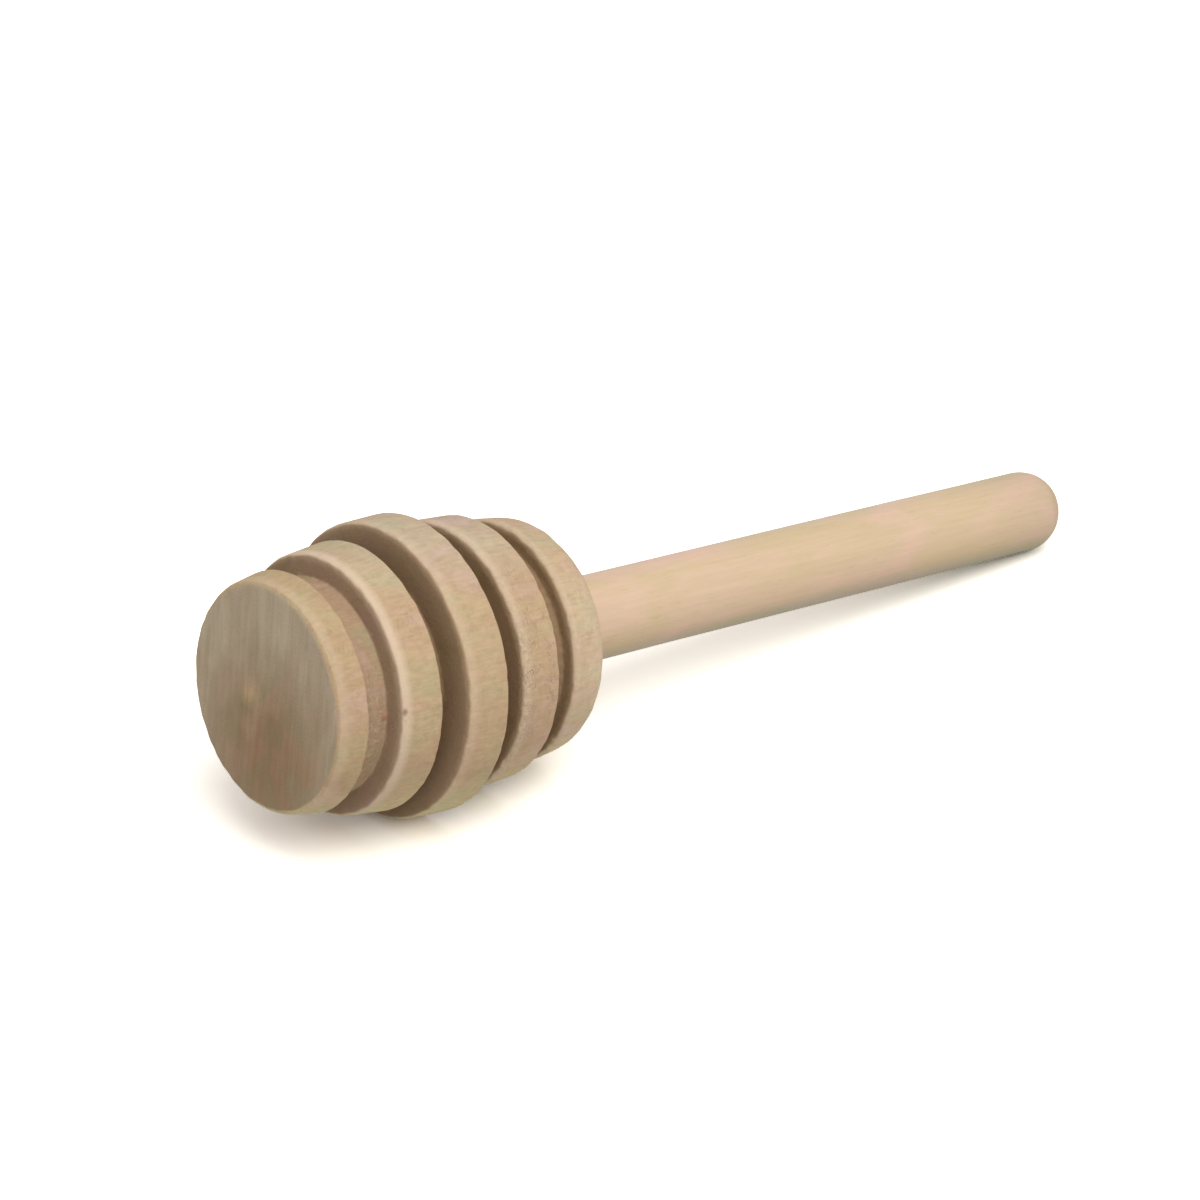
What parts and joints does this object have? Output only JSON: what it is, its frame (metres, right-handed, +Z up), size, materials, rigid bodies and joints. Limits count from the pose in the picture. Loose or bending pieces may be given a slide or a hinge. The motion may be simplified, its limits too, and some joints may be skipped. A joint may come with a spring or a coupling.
{
  "type": "honey dipper",
  "caption": "Small plain wooden honey dipper with a ribbed, barrel-shaped turned head on a straight round handle with a domed tip.",
  "frame": {"origin": "middle of the dipper's footprint, on the surface it lies on", "axes": "+Z up from the surface, +X along the dipper from the flat front face towards the tip of the handle; the turned axis dips 6.9 degrees below +X, as the dipper lies on its widest rib and the end of its handle"},
  "size_m": [0.0988, 0.027, 0.0271],
  "materials": {
    "head_wood": "bare turned hardwood, fine grain, slightly torn in places, greyish tan",
    "handle_wood": "bare sanded dowel, smooth, pale pinkish cream",
    "dried_glue": "thin film of dried wood glue, hidden in the joint"
  },
  "bodies": {
    "root": {"head": "head_wood", "handle": "handle_wood", "glue_film": "dried_glue"}
  },
  "joints": []
}
